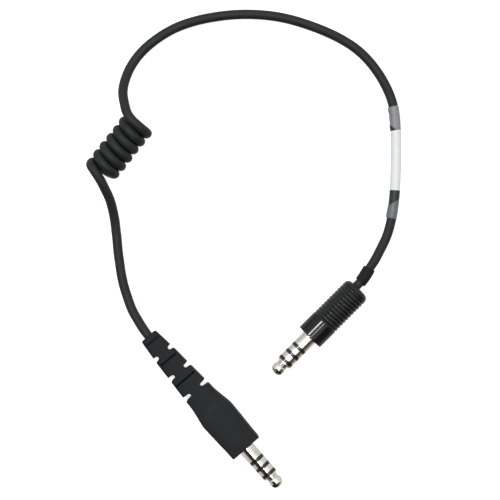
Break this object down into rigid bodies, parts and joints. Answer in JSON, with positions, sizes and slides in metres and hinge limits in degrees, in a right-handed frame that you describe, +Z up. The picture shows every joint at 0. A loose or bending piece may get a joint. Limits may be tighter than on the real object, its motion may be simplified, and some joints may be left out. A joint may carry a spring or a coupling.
{
  "type": "headset extension lead",
  "caption": "Curly headset extension lead with a four-contact moulded plug at one end and a screw-handle plug of the same size at the other.",
  "frame": {"origin": "on the resting plane, under the middle of the box round the two plugs", "axes": "+Z up from the resting plane, +X and +Y in it. +Y runs from the plug tips towards the curly section of the cord"},
  "size_m": [0.1392, 0.2097, 0.0148],
  "materials": {
    "grip_rubber": "matte moulded",
    "mould_core": "matte",
    "contact_metal": "polished nickel plate over brass",
    "insulator_plastic": "satin",
    "cord_jacket": "matte",
    "tinned_wire": "tinned strands",
    "red_wire": "satin",
    "white_wire": "satin",
    "green_wire": "satin",
    "handle_plastic": "gloss",
    "washer_fibre": "matte pressed fibre",
    "label_film": "white panel with clear ends",
    "shrink_tube": "matte"
  },
  "bodies": {
    "moulded_end": {"moulded_grip": "grip_rubber", "inner_mould": "mould_core", "sleeve_a": "contact_metal", "ring_1_a": "contact_metal", "ring_2_a": "contact_metal", "tip_a": "contact_metal", "insulator_1_a": "insulator_plastic", "insulator_2_a": "insulator_plastic", "insulator_3_a": "insulator_plastic", "cord_end_a": "cord_jacket", "wire_sleeve_a": "tinned_wire", "wire_ring_1_a": "red_wire", "wire_ring_2_a": "white_wire", "wire_tip_a": "green_wire", "cord_lower": "cord_jacket", "cord_coil": "cord_jacket"},
    "far_end": {"cord_upper": "cord_jacket", "cord_label": "label_film", "shrink_collar": "shrink_tube", "wire_sleeve_b": "tinned_wire", "wire_ring_1_b": "red_wire", "wire_ring_2_b": "white_wire", "wire_tip_b": "green_wire"},
    "screw_handle": {"handle": "handle_plastic"},
    "plug_core": {"plug_body_b": "contact_metal", "ring_1_b": "contact_metal", "ring_2_b": "contact_metal", "tip_b": "contact_metal", "insulator_1_b": "insulator_plastic", "insulator_2_b": "insulator_plastic", "insulator_3_b": "insulator_plastic", "terminal_washer": "washer_fibre", "cord_clamp": "contact_metal"}
  },
  "joints": [
    {"name": "coil_stretch", "type": "slide", "parent": "moulded_end", "child": "far_end", "axis": [0.6198, 0.7848, 0], "range_m": [0, 0.08], "stiffness_N_per_m": 30, "deforming": ["cord_coil"]},
    {"name": "handle_turn", "type": "hinge", "parent": "far_end", "child": "screw_handle", "pos_m": [0.0243, 0.0204, 0.00635], "axis": [0.7071, 0.7071, 0], "range_deg": [0, 1836]},
    {"name": "core_out", "type": "slide", "parent": "far_end", "child": "plug_core", "axis": [-0.7071, -0.7071, 0], "range_m": [0, 0.005], "deforming": ["wire_sleeve_b", "wire_ring_1_b", "wire_ring_2_b", "wire_tip_b"]}
  ],
  "couplings": [
    {"joint": "handle_turn", "follows": "core_out", "rad_per_m": 6283.2}
  ]
}
